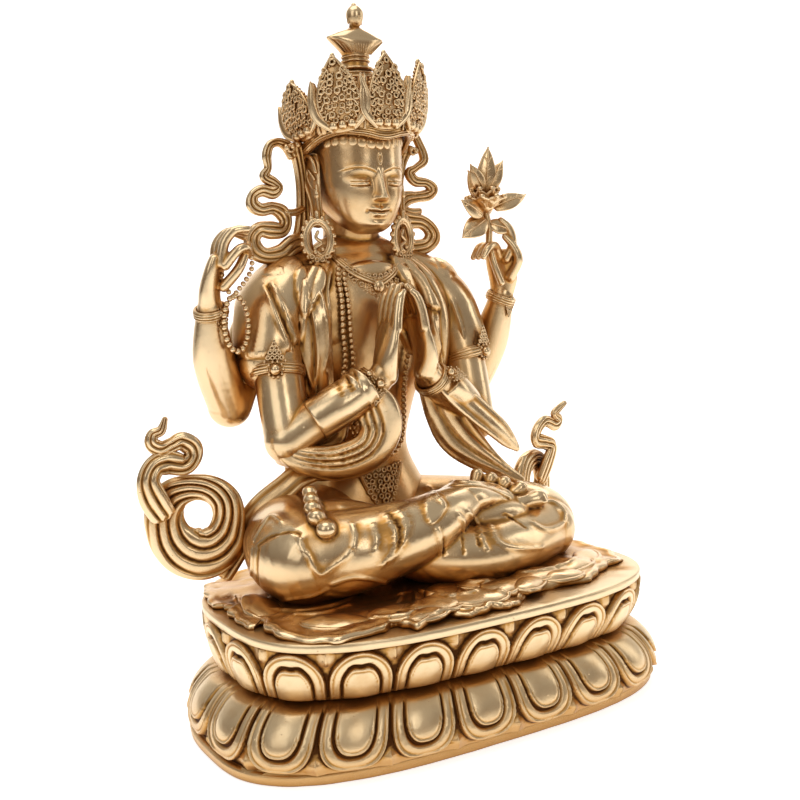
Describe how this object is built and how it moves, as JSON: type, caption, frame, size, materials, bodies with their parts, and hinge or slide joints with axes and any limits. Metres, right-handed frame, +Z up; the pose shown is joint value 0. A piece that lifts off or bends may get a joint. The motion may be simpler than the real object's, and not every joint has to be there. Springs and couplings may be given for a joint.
{
  "type": "avalokiteshvara statue",
  "caption": "Seated four-armed Avalokiteshvara in polished cast brass, hands joined, with crown, scarf scrolls, beads and lotus flower, on a double lotus base.",
  "frame": {"origin": "on the flat underside of the lotus base, on the middle plane of the figure", "axes": "+Z up, the figure faces -Y, +X towards the figure's own left hand, which holds the lotus"},
  "size_m": [0.7178, 0.4654, 1.0009],
  "materials": {
    "base_brass": "cast brass, polished on its high parts, with brown patina in the grooves",
    "figure_brass": "cast brass, mirror polished on skin and cloth, with brown patina in the carved folds and jewellery"
  },
  "bodies": {
    "root": {"lotus_base": "base_brass", "figure": "figure_brass"}
  },
  "joints": []
}
